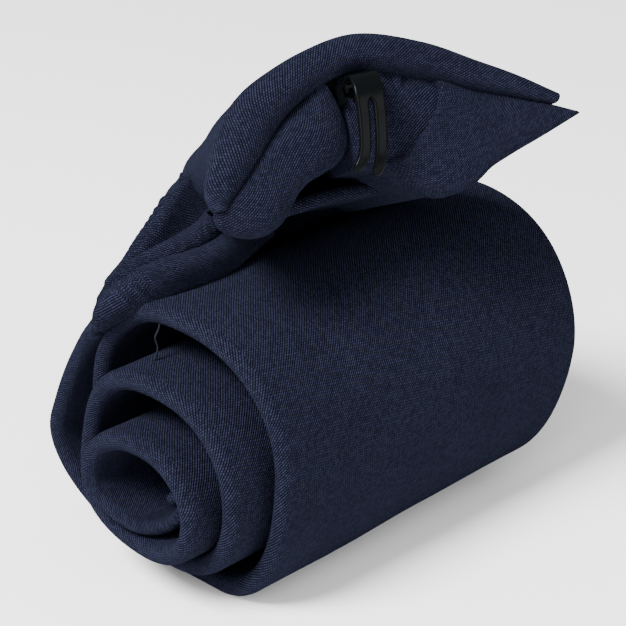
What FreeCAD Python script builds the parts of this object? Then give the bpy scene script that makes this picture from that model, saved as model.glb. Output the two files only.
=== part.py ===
"""A pre-tied clip-on necktie, rolled up from its pointed end with the knot resting on the roll.

Millimetres, +Z up. The origin is on the flat underside of the roll, where it rests. X runs along
the roll's axis, and the blade leaves the roll at its +Y side and climbs over it to the knot.
"""

import FreeCAD
import Part

import collections
import math
import os

DIMENSIONS = {
    # folded blade
    "layer_thick": 3.3,
    "cloth_thick": 0.8,
    "ply_gap": 0.05,
    "seam_gap": 1.2,
    "tip_length": 27.0,
    "tip_end_width": 7.0,
    "tip_thick": 2.0,
    "tip_cloth_thick": 0.5,
    "tip_lining_thick": 0.3,
    "tip_lining_inset": 2.0,
    "stitch_thick": 0.5,
    "bar_tack_width": 8.0,
    "label_width": 30.0,
    "label_thick": 0.4,
    "table_room": 100.0,
    # fold line where the knot lifts off the roll
    "fold_radius": 1.65,
    "fold_gap": 0.4,
    # neck, from the fold line over the top of the roll to the knot
    "neck_top_x": 3.0,
    "neck_top_y": 19.0,
    "neck_top_z": 45.5,
    "neck_top_lean": 17.0,
    "neck_top_half_width": 24.0,
    "neck_top_thick": 5.0,
    "neck_end_half_width": 17.0,
    "neck_end_thick": 7.4,
    "neck_end_rise": 0.6,
    "neck_end_gap": 0.8,
    "neck_lift": 0.8,
    # knot, measured in its own frame: x across, y from the wide end to the narrow end, z outwards
    "knot_x": -1.7,
    "knot_y": -15.6,
    "knot_z": 71.2,
    "knot_yaw": -17.8,
    "knot_pitch": -1.9,
    "knot_roll": -30.5,
    "knot_length": 36.0,
    "knot_taper_across": 0.58,
    "knot_taper_out": 0.5,
    "wrap_share": 0.44,
    "padding_share": 0.72,
    "rim_depth": 4.0,
    "inner_recess": 3.0,
    "share_gap": 0.02,
    "inner_fold_start": 1.0,
    "back_wrap_start": 15.0,
    "tack_radius": 0.4,
    "tack_length": 3.0,
    "tack_inset": 2.0,
    "tack_spacing": 7.0,
    # collar clip, measured in its own frame: x along the pin, y into the knot, z outwards
    "clip_x": -1.1,
    "clip_y": 3.0,
    "clip_z": 7.2,
    "clip_slope": -7.8,
    "pin_radius": 0.6,
    "pin_length": 7.1,
    "pin_clearance": 0.05,
    "barrel_radius": 1.4,
    "fork_width": 5.2,
    "fork_thick": 1.2,
    "fork_reach": 5.5,
    "fork_bend": 2.1,
    "fork_drop": 12.0,
    "fork_tip": 1.6,
    "slot_width": 1.3,
    "slot_length": 9.5,
    "spring_length": 2.4,
    "spring_inner_radius": 0.75,
    "spring_outer_radius": 1.25,
    "plate_start": 1.9,
    "plate_length": 10.0,
    "plate_low": 0.8,
    "plate_thick": 0.9,
    "ear_thick": 0.8,
    "ear_reach": 1.3,
    "rivet_radius": 0.9,
    "rivet_length": 2.7,
    "rivet_head_radius": 1.6,
    "rivet_head_thick": 0.5,
    "rivet_first": 5.0,
    "rivet_spacing": 4.5,
}

# The rolled blade's centre line passes four places in each turn, where it runs straight up, down,
# left or right. Each row: name, y, z, near edge x, far edge x, squareness of the quarter before it.
TURNS = (
    ("core_right", -1.5, 17.5, -36.0, 34.0, 2.0),
    ("core_bottom", 3.5, 12.55, -39.0, 41.0, 2.0),
    ("core_left", 10.8, 19.0, -40.0, 43.0, 2.0),
    ("core_top", 1.0, 26.0, -39.5, 43.0, 2.2),
    ("first_right", -10.6, 18.5, -38.7, 43.0, 2.2),
    ("first_bottom", 1.0, 8.95, -38.0, 43.0, 2.2),
    ("first_left", 14.6, 19.0, -37.0, 42.5, 2.3),
    ("first_top", 2.0, 34.6, -36.0, 42.0, 2.3),
    ("second_right", -15.4, 22.0, -34.5, 41.0, 2.2),
    ("second_bottom", 1.5, 5.35, -33.0, 40.5, 2.2),
    ("second_left", 18.8, 22.0, -31.0, 40.0, 2.4),
    ("second_top", 1.0, 44.9, -30.0, 39.0, 2.3),
    ("third_right", -20.0, 25.0, -28.5, 38.0, 2.2),
    ("third_bottom", -6.0, 1.6, -28.5, 36.0, 2.2),
    ("loose_bottom", 6.0, 1.6, -29.5, 33.0, 2.0),
    ("loose_left", 29.6, 16.0, -31.0, 27.0, 2.1),
    ("neck_rise", 5.6, 50.2, -32.0, 25.0, 1.35),
)
STEPS_PER_QUARTER = 6
LAST_QUARTER_SHARE = 0.5
FOLD_STEPS = 6
FULL_QUARTERS = 2
LABEL_QUARTER = 7
LINING_STOP = 3

# Outline points of the knot's wide end, in its own frame (x across, z outwards).
WRAP_OUTER = ((-30.0, -4.0), (-20.6, 10.3), (-2.0, 15.0), (18.5, 7.6), (33.0, -2.5))
WRAP_INNER = ((-27.4, -4.8), (-17.5, 3.4), (-2.0, 9.9), (17.0, 4.6), (29.5, -2.9))
LOBE_TOP = ((-27.0, -5.4), (-17.2, 2.6), (-6.6, 8.2))
LOBE_UNDER = ((-6.2, 0.5), (-13.5, -5.4), (-22.0, -10.4), (-27.8, -8.4), (-27.0, -5.4))
FLAP_TOP = ((29.0, -3.6), (20.0, 2.6), (11.4, 6.5))
FLAP_SEAM = ((11.4, 6.5), (9.3, 2.0), (4.2, -2.0), (1.2, -3.4))
FLAP_UNDER = ((1.2, -3.4), (12.7, -8.8), (21.2, -6.6), (29.0, -3.6))
INNER_TOP = ((10.8, 6.6), (7.2, 8.0), (3.6, 8.8))
INNER_SEAM = ((3.6, 8.8), (3.6, -1.9))
INNER_UNDER = ((3.6, -1.9), (8.8, 2.4), (10.8, 6.6))
BACK_WRAP_TOP = ((-20.5, -11.2), (-13.3, -7.2), (-3.0, -4.6), (4.0, -7.2), (12.5, -10.2), (20.0, -8.6))
TACK_PLACES = ((-17.0, -11.0), (12.5, -11.0))
BACK_WRAP_UNDER = ((-20.0, -12.4), (-12.6, -8.6), (-3.0, -6.2), (4.0, -8.8), (12.5, -11.6), (20.0, -9.8))

Station = collections.namedtuple("Station", "y z near far ny nz thick wall")

doc = FreeCAD.newDocument("clip_on_necktie")
sheet = doc.addObject("Spreadsheet::Sheet", "Dimensions")
row = 0


def add_dimension(alias, value):
    """Put one driving dimension into the next row of the sheet."""
    global row
    row += 1
    sheet.set(f"A{row}", alias)
    sheet.set(f"B{row}", str(value))
    sheet.setAlias(f"B{row}", alias)


def dim(alias):
    return float(sheet.get(alias))


def fill_sheet():
    for alias, value in DIMENSIONS.items():
        add_dimension(alias, value)
    for name, y, z, near, far, squareness in TURNS:
        add_dimension(f"{name}_y", y)
        add_dimension(f"{name}_z", z)
        add_dimension(f"{name}_near", near)
        add_dimension(f"{name}_far", far)
        add_dimension(f"{name}_squareness", squareness)
    doc.recompute()


def feature(label, shape, placement=None):
    """A sub-part whose shape is worked out here from the sheet's values."""
    made = doc.addObject("Part::Feature", label)
    made.Label = label
    made.Shape = shape
    if placement:
        made.Placement = placement
    return made


# ---------------------------------------------------------------- the rolled blade

def between(start, end, share):
    return start + (end - start) * share


def roll_points():
    """Points of the blade's centre line: (y, z, near x, far x), from the core to the fold line."""
    points = []
    names = [entry[0] for entry in TURNS]
    for number in range(len(names) - 1):
        start, end = names[number], names[number + 1]
        power = 2.0 / dim(f"{end}_squareness")
        share = LAST_QUARTER_SHARE if end == names[-1] else 1.0
        for step in range(STEPS_PER_QUARTER):
            points.append(quarter_point(start, end, power, share * step / STEPS_PER_QUARTER))
    points.append(quarter_point(start, end, power, share))
    return points


def quarter_point(start, end, power, share):
    """A point on the quarter superellipse, or the level run, between two places of the centre line."""
    sine = math.sin(share * math.pi / 2) ** power
    cosine = math.cos(share * math.pi / 2) ** power if share < 1 else 0.0
    y0, z0, y1, z1 = (dim(f"{name}_{axis}") for name in (start, end) for axis in "yz")
    if start.endswith(("right", "left")):
        y = y1 + (y0 - y1) * cosine
        z = z0 + (z1 - z0) * sine
    else:
        y = y0 + (y1 - y0) * sine
        z = z1 + (z0 - z1) * cosine
    near = between(dim(f"{start}_near"), dim(f"{end}_near"), share)
    far = between(dim(f"{start}_far"), dim(f"{end}_far"), share)
    return y, z, near, far


def along_blade(points, thicks, walls):
    """Stations along a stretch of the blade, with the direction that its front faces."""
    stations = []
    for place, (y, z, near, far) in enumerate(points):
        before = points[max(place - 1, 0)]
        after = points[min(place + 1, len(points) - 1)]
        run_y, run_z = after[0] - before[0], after[1] - before[1]
        length = math.hypot(run_y, run_z)
        front = run_z / length, -run_y / length
        stations.append(Station(y, z, near, far, *front, thicks[place], walls[place]))
    return stations


def body_stations():
    """The blade from the fold of its tip to the fold line, flat at first and then full."""
    points = roll_points()
    full_after = FULL_QUARTERS * STEPS_PER_QUARTER
    shares = [min(place / full_after, 1.0) for place in range(len(points))]
    thicks = [between(dim("tip_thick"), dim("layer_thick"), share) for share in shares]
    walls = [between(dim("tip_cloth_thick"), dim("cloth_thick"), share) for share in shares]
    return along_blade(points, thicks, walls)


def behind(station, distance):
    """The point at a distance behind the blade's back."""
    reach = station.thick / 2 + distance
    return station.y - station.ny * reach, station.z - station.nz * reach


def tip_stations(body):
    """The pointed tip, folded back inside the core: it narrows to its end along the core's inside."""
    first = body[0]
    middle = (first.near + first.far) / 2
    full = (first.far - first.near) / 2
    distance = dim("tip_thick") / 2 + dim("tip_lining_thick") + 4 * dim("ply_gap")
    travelled = 0.0
    tip = []
    previous = behind(first, distance)
    for station in body:
        y, z = behind(station, distance)
        travelled += math.hypot(y - previous[0], z - previous[1])
        previous = y, z
        if travelled > dim("tip_length"):
            break
        half = between(full, dim("tip_end_width") / 2, travelled / dim("tip_length"))
        place = {"y": y, "z": z, "ny": -station.ny, "nz": -station.nz}
        tip.append(first._replace(near=middle - half, far=middle + half, **place))
    tip.reverse()
    return tip


def tip_fold_stations(tip_end, first):
    """The half-round fold between the tip and the rest of the blade."""
    centre_y, centre_z = (tip_end.y + first.y) / 2, (tip_end.z + first.z) / 2
    radius = math.hypot(tip_end.y - first.y, tip_end.z - first.z) / 2
    bend = []
    for step in range(1, FOLD_STEPS):
        angle = math.pi * step / FOLD_STEPS
        ny = -first.ny * math.cos(angle) + first.nz * math.sin(angle)
        nz = -first.nz * math.cos(angle) - first.ny * math.sin(angle)
        bend.append(first._replace(y=centre_y + ny * radius, z=centre_z + nz * radius, ny=ny, nz=nz))
    return bend


def swept(stations, section):
    """A solid through one closed outline per station; section(station) lists its (x, offset)."""
    wires = []
    for station in stations:
        points = [
            FreeCAD.Vector(x, station.y + station.ny * off, station.z + station.nz * off)
            for x, off in section(station)
        ]
        wires.append(Part.makePolygon(points + points[:1]))
    return Part.makeLoft(wires, True, True)


def folded_outline(near, far, half, wall):
    """Cloth folded round an interlining, its two edges meeting at the middle of the back."""
    gap = dim("seam_gap") / 2
    middle = (near + far) / 2
    outside = (
        (middle - gap, -half), (near, -half), (near, half),
        (far, half), (far, -half), (middle + gap, -half),
    )
    inside = (
        (middle + gap, wall - half), (far - wall, wall - half), (far - wall, half - wall),
        (near + wall, half - wall), (near + wall, wall - half), (middle - gap, wall - half),
    )
    return outside + inside


def flat_outline(near, far, low, high):
    return (near, low), (near, high), (far, high), (far, low)


def shell_section(station):
    return folded_outline(station.near, station.far, station.thick / 2, station.wall)


def interlining_section(station):
    inset = station.wall + dim("ply_gap")
    half = station.thick / 2 - inset
    return flat_outline(station.near + inset, station.far - inset, -half, half)


def seam_section(station):
    middle = (station.near + station.far) / 2
    side = dim("seam_gap") / 2 - 2 * dim("ply_gap")
    low = -station.thick / 2
    return flat_outline(middle - side, middle + side, low, low + dim("stitch_thick"))


def on_the_back(station, thick):
    """The two offsets of a thin piece that lies on the back of the blade."""
    high = -station.thick / 2 - dim("ply_gap")
    return high - thick, high


def lining_section(station):
    inset = dim("tip_lining_inset")
    low, high = on_the_back(station, dim("tip_lining_thick"))
    return flat_outline(station.near + inset, station.far - inset, low, high)


def centred_section(width, thick):
    """A thin piece of the given width, about the middle of the blade's back."""
    def section(station):
        middle = (station.near + station.far) / 2
        return flat_outline(middle - width / 2, middle + width / 2, *on_the_back(station, thick))

    return section


def pressed_flat(solid):
    """The solid without what would reach below the table, so that its underside is one flat face."""
    room = dim("table_room")
    below = Part.makeBox(2 * room, 2 * room, room, FreeCAD.Vector(-room, -room, -room))
    return solid.cut(below).Solids[0]


def build_blade():
    body = body_stations()
    tip = tip_stations(body)
    everything = tip + tip_fold_stations(tip[-1], body[0]) + body
    tack = centred_section(dim("bar_tack_width"), dim("tip_lining_thick"))
    label = centred_section(dim("label_width"), dim("label_thick"))
    label_start = LABEL_QUARTER * STEPS_PER_QUARTER + STEPS_PER_QUARTER // 2
    label_end = label_start + STEPS_PER_QUARTER // 2 + 1
    made = [
        feature("blade_shell", pressed_flat(swept(everything, shell_section))),
        feature("blade_interlining", swept(everything, interlining_section)),
        feature("back_seam_stitch", swept(body[FULL_QUARTERS * STEPS_PER_QUARTER:-1], seam_section)),
        feature("tip_lining", swept(tip[:-LINING_STOP], lining_section)),
        feature("bar_tack", swept(tip[1 - LINING_STOP:], tack)),
        feature("care_label", swept(body[label_start:label_end], label)),
    ]
    return made, body[-1]


# ---------------------------------------------------------------- the neck

def wire_in_frame(frame, points):
    """A closed wire of (across, outward) points about a section's centre."""
    centre, across, outward = frame
    placed = [centre + across * a + outward * b for a, b in points]
    return Part.makePolygon(placed + placed[:1])


def neck_frames(fold, frame):
    """Centre, width direction and outward direction of the neck's three sections."""
    side = FreeCAD.Vector(1, 0, 0)
    start_out = FreeCAD.Vector(0, fold.ny, fold.nz)
    along = FreeCAD.Vector(0, -fold.nz, fold.ny)
    start = FreeCAD.Vector((fold.near + fold.far) / 2, fold.y, fold.z)
    start += start_out * dim("neck_lift") + along * (dim("fold_gap") + 2 * dim("fold_radius"))
    knot_across = frame.Rotation.multVec(side)
    knot_out = frame.Rotation.multVec(FreeCAD.Vector(0, 0, 1))
    end = frame.multVec(FreeCAD.Vector(0, dim("knot_length") + dim("neck_end_gap"), dim("neck_end_rise")))
    top = FreeCAD.Vector(dim("neck_top_x"), dim("neck_top_y"), dim("neck_top_z"))
    top_across = (side + knot_across).normalize()
    lean = math.radians(dim("neck_top_lean"))
    top_out = top_across.cross(FreeCAD.Vector(0, -math.sin(lean), math.cos(lean))).negative().normalize()
    return (start, side, start_out), (top, top_across, top_out), (end, knot_across, knot_out)


def build_neck(fold, frame):
    """The gathered neck, drawn in from the blade's width to the knot's narrow end."""
    blade_half_width = (dim("neck_rise_far") - dim("neck_rise_near")) / 2
    half_widths = blade_half_width, dim("neck_top_half_width"), dim("neck_end_half_width")
    thicks = dim("layer_thick"), dim("neck_top_thick"), dim("neck_end_thick")
    wall, inset = dim("cloth_thick"), dim("cloth_thick") + dim("ply_gap")
    shell_wires, core_wires = [], []
    for section, width, thick in zip(neck_frames(fold, frame), half_widths, thicks):
        shell_wires.append(wire_in_frame(section, folded_outline(-width, width, thick / 2, wall)))
        core = flat_outline(inset - width, width - inset, inset - thick / 2, thick / 2 - inset)
        core_wires.append(wire_in_frame(section, core))
    return [
        feature("neck_shell", Part.makeLoft(shell_wires, True, True)),
        feature("neck_interlining", Part.makeLoft(core_wires, True, True)),
    ]


# ---------------------------------------------------------------- the knot

def knot_frame():
    place = FreeCAD.Vector(dim("knot_x"), dim("knot_y"), dim("knot_z"))
    return FreeCAD.Placement(place, FreeCAD.Rotation(dim("knot_yaw"), dim("knot_pitch"), dim("knot_roll")))


def tapered(points, depth):
    """Outline points at a depth behind the wide end, drawn in towards the narrow end."""
    share = depth / dim("knot_length")
    across = 1 + (dim("knot_taper_across") - 1) * share
    out = 1 + (dim("knot_taper_out") - 1) * share
    return [FreeCAD.Vector(x * across, depth, z * out) for x, z in points]


def edge_through(points):
    """A straight edge through two points, or a smooth curve through more."""
    if len(points) == 2:
        return Part.makeLine(points[0], points[1])
    curve = Part.BSplineCurve()
    curve.interpolate(points)
    return curve.toShape()


def outline(sides, depth):
    """A closed wire of smooth sides, with straight lines where one side doesn't reach the next."""
    runs = [tapered(side, depth) for side in sides]
    edges = []
    for number, points in enumerate(runs):
        edges.append(edge_through(points))
        following = runs[(number + 1) % len(runs)][0]
        if (points[-1] - following).Length > 1e-6:
            edges.append(Part.makeLine(points[-1], following))
    return Part.Wire(edges)


def tapered_solid(sides, start, end):
    return Part.makeLoft([outline(sides, start), outline(sides, end)], True, True)


def layer_sides(outer_share, inner_share):
    """Two curves between the front wrap's outer and inner faces, at shares of its thickness."""
    def between(share):
        pairs = zip(WRAP_OUTER, WRAP_INNER)
        return [(a[0] + (b[0] - a[0]) * share, a[1] + (b[1] - a[1]) * share) for a, b in pairs]

    return between(outer_share), between(inner_share)[::-1]


def build_knot(frame):
    length, rim, recess = dim("knot_length"), dim("rim_depth"), dim("inner_recess")
    wrap, padding, gap = dim("wrap_share"), dim("padding_share"), dim("share_gap")
    start, end = rim + 2 * dim("ply_gap"), length - recess
    front = tapered_solid(layer_sides(0, 1), 0, rim)
    front = front.fuse(tapered_solid(layer_sides(0, wrap), rim, length)).removeSplitter()
    former = tapered_solid(layer_sides(padding + gap, 1), start, end).cut(rivet_shanks())
    pad = tapered_solid(layer_sides(wrap + gap, padding), start, end)
    inner_fold = tapered_solid((INNER_TOP, INNER_SEAM, INNER_UNDER), dim("inner_fold_start"), end)
    back = tapered_solid((BACK_WRAP_TOP, BACK_WRAP_UNDER[::-1]), dim("back_wrap_start"), length)
    return [
        feature("knot_front_wrap", front.Solids[0], frame),
        feature("knot_padding", pad, frame),
        feature("knot_former", former.Solids[0], frame),
        feature("knot_left_shoulder", tapered_solid((LOBE_TOP, LOBE_UNDER), 0, length), frame),
        feature("knot_right_flap", tapered_solid((FLAP_TOP, FLAP_SEAM, FLAP_UNDER), 0, length), frame),
        feature("knot_inner_fold", inner_fold, frame),
        feature("knot_back_wrap", back, frame),
        build_tacks(frame),
    ]


def build_tacks(frame):
    """Hand stitches that close the back wrap on to the two sides of the knot."""
    stitches = []
    for number in range(2):
        depth = dim("back_wrap_start") + dim("tack_inset") + number * dim("tack_spacing")
        for place in tapered(TACK_PLACES, depth):
            stitches.append(Part.makeCylinder(dim("tack_radius"), dim("tack_length"), place))
    return feature("knot_tacks", Part.makeCompound(stitches), frame)


# ---------------------------------------------------------------- the collar clip

def clip_in_knot():
    """The clip's frame in the knot's frame: it follows the slope of the former."""
    place = FreeCAD.Vector(dim("clip_x"), dim("clip_y"), dim("clip_z"))
    return FreeCAD.Placement(place, FreeCAD.Rotation(FreeCAD.Vector(1, 0, 0), dim("clip_slope")))


def rivet_places():
    return [dim("rivet_first") + number * dim("rivet_spacing") for number in range(2)]


def rivet_shanks():
    """The rivets' shanks in the knot's frame, which also cut their holes in the former."""
    low = dim("plate_low") - dim("rivet_head_thick")
    radius, length = dim("rivet_radius"), dim("rivet_length")
    shanks = [Part.makeCylinder(radius, length, FreeCAD.Vector(0, y, low)) for y in rivet_places()]
    shanks = Part.makeCompound(shanks)
    shanks.Placement = clip_in_knot()
    return shanks


def bound(kind, label, **aliases):
    """A primitive whose properties follow the sheet's cells."""
    made = doc.addObject(kind, label)
    for name, alias in aliases.items():
        made.setExpression(name, f"Dimensions.{alias}")
    return made


def moved(frame, x, y, z):
    return frame.multiply(FreeCAD.Placement(FreeCAD.Vector(x, y, z), FreeCAD.Rotation()))


def pin_cylinder(label, radius, length, frame):
    """A cylinder along the clip's x, centred on the pin's axis."""
    made = bound("Part::Cylinder", label, Radius=radius, Height=length)
    along_x = FreeCAD.Placement(FreeCAD.Vector(), FreeCAD.Rotation(FreeCAD.Vector(0, 1, 0), 90))
    made.Placement = moved(frame, -dim(length) / 2, 0, 0).multiply(along_x)
    return made


def combined(kind, label, shapes):
    """A cut of the second shape from the first, or a fusion of all of them."""
    made = doc.addObject(kind, label)
    if kind == "Part::Cut":
        made.Base, made.Tool = shapes
    else:
        made.Shapes = shapes
    return made


def build_plate(frame):
    """The clip's base plate: a flat strip under the former, with two ears that hold the pin."""
    half, reach, low = dim("pin_length") / 2, dim("ear_reach"), dim("plate_low")
    strip = bound("Part::Box", "plate_strip", Length="pin_length", Width="plate_length", Height="plate_thick")
    strip.Placement = moved(frame, -half, dim("plate_start"), low)
    ears = []
    for name, x in (("left_ear", -half), ("right_ear", half - dim("ear_thick"))):
        ear = bound("Part::Box", name, Length="ear_thick")
        ear.setExpression("Width", "Dimensions.plate_start + 2 * Dimensions.ear_reach")
        ear.setExpression("Height", "Dimensions.ear_reach + Dimensions.plate_low + Dimensions.plate_thick")
        ear.Placement = moved(frame, x, -reach, -reach)
        ears.append(ear)
    solid = combined("Part::MultiFuse", "plate_solid", [strip] + ears)
    holes = [pin_cylinder("plate_bore", "pin_radius", "pin_length", frame)]
    for number, y in enumerate(rivet_places()):
        hole = bound("Part::Cylinder", f"rivet_hole_{number}", Radius="rivet_radius", Height="plate_thick")
        hole.Placement = moved(frame, 0, y, low)
        holes.append(hole)
    return combined("Part::Cut", "clip_plate", [solid, combined("Part::MultiFuse", "plate_holes", holes)])


def build_rivets(knot_place, frame):
    """Two rivets from the underside of the plate into the former."""
    low = dim("plate_low") - dim("rivet_head_thick")
    shanks = rivet_shanks()
    shanks.Placement = knot_place.multiply(shanks.Placement)
    rivets = []
    for shank, y in zip(shanks.Solids, rivet_places()):
        head = Part.makeCylinder(dim("rivet_head_radius"), dim("rivet_head_thick"), FreeCAD.Vector(0, y, low))
        head.Placement = frame
        rivets.append(shank.fuse(head).removeSplitter().Solids[0])
    return feature("clip_rivets", Part.makeCompound(rivets))


def origin_plane(body, role):
    return next(entry for entry in body.Origin.OriginFeatures if entry.Role == role)


def sketch_on(body, role, name, edges):
    """A sketch of the given edges on one of the body's own origin planes."""
    sketch = body.newObject("Sketcher::SketchObject", name)
    sketch.AttachmentSupport = [(origin_plane(body, role), "")]
    sketch.MapMode = "FlatFace"
    for edge in edges:
        sketch.addGeometry(edge)
    return sketch


def centred_extrusion(body, kind, name, sketch, length):
    """A pad or pocket that runs equally to both sides of its sketch."""
    made = body.newObject(kind, name)
    made.Profile = sketch
    made.SideType = "Symmetric"
    made.setExpression("Length", length)
    doc.recompute()
    return made


def fork_profile():
    """The fork from the side: an arm off the pin, a round crown and a leg with its tip turned in."""
    thick, reach, bend = dim("fork_thick"), dim("fork_reach"), dim("fork_bend")
    top = dim("barrel_radius")
    inner = bend - thick
    bend_y, bend_z = bend - reach, top - bend
    foot = top - dim("fork_drop")
    tip = dim("fork_tip")

    def point(y, z):
        return FreeCAD.Vector(y, z, 0)

    def arc(radius, start, end):
        circle = Part.Circle(point(bend_y, bend_z), FreeCAD.Vector(0, 0, 1), radius)
        return Part.ArcOfCircle(circle, start, end)

    arm = [
        Part.LineSegment(point(0, top), point(bend_y, top)),
        arc(bend, math.pi / 2, math.pi),
        Part.LineSegment(point(-reach, bend_z), point(-reach, foot)),
        Part.LineSegment(point(-reach, foot), point(tip / 2 - reach, foot - tip)),
        Part.LineSegment(point(tip / 2 - reach, foot - tip), point(tip / 2 - reach + thick, foot - tip)),
        Part.LineSegment(point(tip / 2 - reach + thick, foot - tip), point(thick - reach, foot)),
        Part.LineSegment(point(thick - reach, foot), point(thick - reach, bend_z)),
        arc(inner, math.pi / 2, math.pi),
        Part.LineSegment(point(bend_y, top - thick), point(0, top - thick)),
        Part.LineSegment(point(0, top - thick), point(0, top)),
    ]
    return arm


def rectangle_edges(x0, y0, x1, y1):
    corners = [FreeCAD.Vector(*corner, 0) for corner in ((x0, y0), (x1, y0), (x1, y1), (x0, y1))]
    return [Part.LineSegment(corners[number - 1], corners[number]) for number in range(4)]


def circle_edge(radius):
    return Part.Circle(FreeCAD.Vector(0, 0, 0), FreeCAD.Vector(0, 0, 1), radius)


def build_fork(frame):
    """The two-pronged fork: its barrel turns on the pin and holds the spring in a gap."""
    body = doc.addObject("PartDesign::Body", "clip_fork")
    body.Placement = frame
    width = "Dimensions.fork_width"
    centred_extrusion(body, "PartDesign::Pad", "fork_arm",
                      sketch_on(body, "YZ_Plane", "fork_side", fork_profile()), width)
    centred_extrusion(body, "PartDesign::Pad", "fork_barrel",
                      sketch_on(body, "YZ_Plane", "barrel_end", [circle_edge(dim("barrel_radius"))]), width)
    before = body.Shape.Volume
    bore_radius = dim("pin_radius") + dim("pin_clearance")
    centred_extrusion(body, "PartDesign::Pocket", "fork_bore",
                      sketch_on(body, "YZ_Plane", "bore_end", [circle_edge(bore_radius)]), width)
    room = dim("barrel_radius") + dim("ply_gap")
    centred_extrusion(body, "PartDesign::Pocket", "spring_gap",
                      sketch_on(body, "YZ_Plane", "gap_side", rectangle_edges(-room, -room, room, room)),
                      "Dimensions.spring_length + Dimensions.ply_gap * 4")
    half = dim("slot_width") / 2
    low = dim("barrel_radius") - dim("fork_drop") - 2 * dim("fork_tip")
    top = low + dim("slot_length") + dim("fork_tip")
    centred_extrusion(body, "PartDesign::Pocket", "fork_slot",
                      sketch_on(body, "XZ_Plane", "slot_front", rectangle_edges(-half, low, half, top)),
                      "Dimensions.fork_reach * 4")
    doc.recompute()
    if body.Shape.Volume >= before:
        raise RuntimeError("the fork's pockets cut nothing")
    return body


def build_clip(knot_place):
    """Everything of the collar clip; its frame lies in the knot's."""
    frame = knot_place.multiply(clip_in_knot())
    plate = build_plate(frame)
    rivets = build_rivets(knot_place, frame)
    pin = pin_cylinder("clip_pin", "pin_radius", "pin_length", frame)
    outside = pin_cylinder("spring_outside", "spring_outer_radius", "spring_length", frame)
    inside = pin_cylinder("spring_inside", "spring_inner_radius", "spring_length", frame)
    spring = combined("Part::Cut", "clip_spring", [outside, inside])
    return [plate, rivets, pin, spring, build_fork(frame)]


def check(objects, sub_parts):
    """Stop before anything is written if an object failed or a sub-part isn't a sound solid."""
    for entry in objects:
        if "Invalid" in entry.State or "Error" in entry.State:
            raise RuntimeError(f"{entry.Label} failed: {entry.State}")
    for entry in sub_parts:
        shape = entry.Shape
        if shape.isNull() or not shape.isValid() or not shape.Solids or shape.Volume <= 0:
            raise RuntimeError(f"{entry.Label} is not a sound solid")


def main():
    fill_sheet()
    knot_place = knot_frame()
    blade, fold = build_blade()
    sub_parts = blade + build_neck(fold, knot_place) + build_knot(knot_place) + build_clip(knot_place)
    doc.recompute()
    check(doc.Objects, sub_parts)
    os.makedirs("parts", exist_ok=True)
    for entry in sub_parts:
        entry.Shape.exportStep(f"parts/{entry.Label}.step")
        print(f"{entry.Label}: {len(entry.Shape.Solids)} solid(s), {entry.Shape.Volume:.1f} mm3")


main()
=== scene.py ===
"""A pre-tied clip-on necktie, rolled up with its knot on top: cloth, knot, clip and studio."""
import bpy
import math
import numpy as np
from mathutils import Euler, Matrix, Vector, noise


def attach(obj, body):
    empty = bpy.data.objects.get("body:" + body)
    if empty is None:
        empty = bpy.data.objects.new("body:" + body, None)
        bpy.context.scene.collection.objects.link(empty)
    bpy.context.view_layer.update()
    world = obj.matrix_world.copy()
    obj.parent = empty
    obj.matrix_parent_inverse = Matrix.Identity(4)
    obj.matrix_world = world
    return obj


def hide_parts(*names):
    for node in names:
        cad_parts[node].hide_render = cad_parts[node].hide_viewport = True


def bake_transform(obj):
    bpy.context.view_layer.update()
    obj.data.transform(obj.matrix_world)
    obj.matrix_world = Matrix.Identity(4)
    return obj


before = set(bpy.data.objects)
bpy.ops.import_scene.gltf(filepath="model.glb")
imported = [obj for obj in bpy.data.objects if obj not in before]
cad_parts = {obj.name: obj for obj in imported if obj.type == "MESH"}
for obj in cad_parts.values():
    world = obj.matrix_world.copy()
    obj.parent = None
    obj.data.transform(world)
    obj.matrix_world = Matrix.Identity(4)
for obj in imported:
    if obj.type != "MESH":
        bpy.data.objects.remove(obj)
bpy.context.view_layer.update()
MM = 0.001


# ---------------------------------------------------------------- mesh helpers

def make_object(name, points, faces, uvs):
    """A smooth-shaded mesh object; points and uvs in millimetres, with one uv for each face corner."""
    mesh = bpy.data.meshes.new(name)
    mesh.from_pydata((np.asarray(points) * MM).tolist(), [], faces)
    layer = mesh.uv_layers.new(name="cloth")
    layer.data.foreach_set("uv", np.asarray(uvs, float).ravel() * MM)
    mesh.polygons.foreach_set("use_smooth", [True] * len(faces))
    mesh.validate()
    mesh.update()
    made = bpy.data.objects.new(name, mesh)
    bpy.context.scene.collection.objects.link(made)
    return made


def ring_mesh(name, rings, across, along):
    """A closed skin over rings of points; across has one more column than a ring, for the seam."""
    count, size = rings.shape[:2]
    faces, uvs = [], []
    for i in range(count - 1):
        for j in range(size):
            k = (j + 1) % size
            faces.append((i * size + j, i * size + k, (i + 1) * size + k, (i + 1) * size + j))
            for a, b in ((i, j), (i, j + 1), (i + 1, j + 1), (i + 1, j)):
                uvs.append((across[a, b], along[a, b]))
    for i, order in ((0, 1), (count - 1, -1)):
        for j in range(size // 2 - 1):
            corners = (j, size - 1 - j, size - 2 - j, j + 1)[::order]
            faces.append(tuple(i * size + c for c in corners))
            for c in corners:
                front = min(c, size - 1 - c)
                width = np.linalg.norm(rings[i, c] - rings[i, front])
                uvs.append((across[i, front], along[i, front] + width))
    points = rings.reshape(-1, 3)
    corners = points[np.array(faces)]
    fans = (np.cross(corners[:, 1], corners[:, 2]) + np.cross(corners[:, 2], corners[:, 3])) * corners[:, 0]
    if fans.sum() < 0:
        faces = [face[::-1] for face in faces]
        uvs = [uv for start in range(0, len(uvs), 4) for uv in uvs[start:start + 4][::-1]]
    return make_object(name, points, faces, uvs)


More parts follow.
